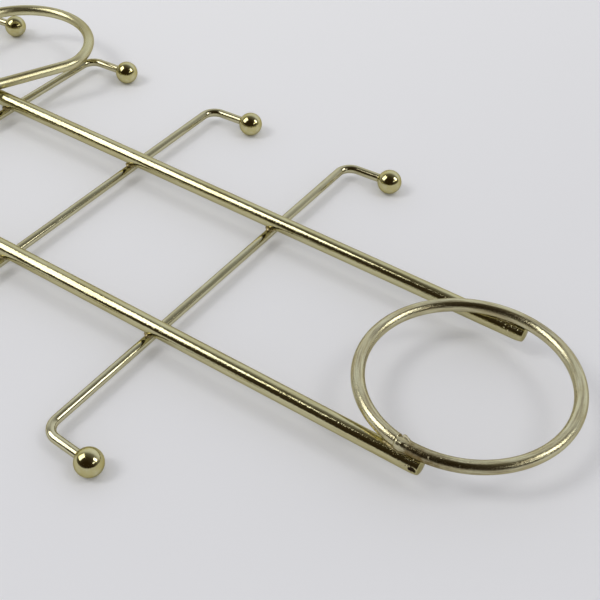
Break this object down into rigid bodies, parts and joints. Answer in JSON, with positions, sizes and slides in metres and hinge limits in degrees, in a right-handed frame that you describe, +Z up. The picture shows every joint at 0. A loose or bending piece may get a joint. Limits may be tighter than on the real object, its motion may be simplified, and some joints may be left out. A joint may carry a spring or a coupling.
{
  "type": "tie and accessory hanger",
  "caption": "Flat brass-plated wire frame of two rails and cross wires with ball-tipped arms, a ring at each end, and a folding hook for a closet rod.",
  "frame": {"origin": "on the surface that the balls lie on, under the middle of the hanger's outline with the hook folded flat", "axes": "+X along the rails, the way the ball tips point; +Y across the rails, the way the folded hook points; +Z up"},
  "size_m": [0.4076, 0.1302, 0.0122],
  "materials": {
    "rail_plate": "bright brass plate on drawn steel wire",
    "bar_plate": "bright brass plate on drawn steel wire",
    "cross_wire_plate": "bright brass plate on drawn steel wire",
    "ball_plate": "polished brass plate on a steel ball",
    "ring_plate": "bright brass plate on drawn steel wire",
    "hook_plate": "bright brass plate on drawn steel wire"
  },
  "bodies": {
    "frame": {"rail_front": "rail_plate", "rail_back": "rail_plate", "hook_bar": "bar_plate", "cross_wire_1": "cross_wire_plate", "cross_wire_2": "cross_wire_plate", "cross_wire_3": "cross_wire_plate", "cross_wire_4": "cross_wire_plate", "cross_wire_5": "cross_wire_plate", "cross_wire_6": "cross_wire_plate", "ball_front_1": "ball_plate", "ball_front_2": "ball_plate", "ball_front_3": "ball_plate", "ball_front_4": "ball_plate", "ball_front_5": "ball_plate", "ball_front_6": "ball_plate", "ball_back_1": "ball_plate", "ball_back_2": "ball_plate", "ball_back_3": "ball_plate", "ball_back_4": "ball_plate", "ball_back_5": "ball_plate", "ball_back_6": "ball_plate", "end_ring_left": "ring_plate", "end_ring_right": "ring_plate"},
    "hook": {"closet_hook": "hook_plate"}
  },
  "joints": [
    {"name": "hook_fold", "type": "hinge", "parent": "frame", "child": "hook", "pos_m": [0.0013, -0.0016, 0.0068], "axis": [1, 0, 0], "range_deg": [0, 160]}
  ]
}
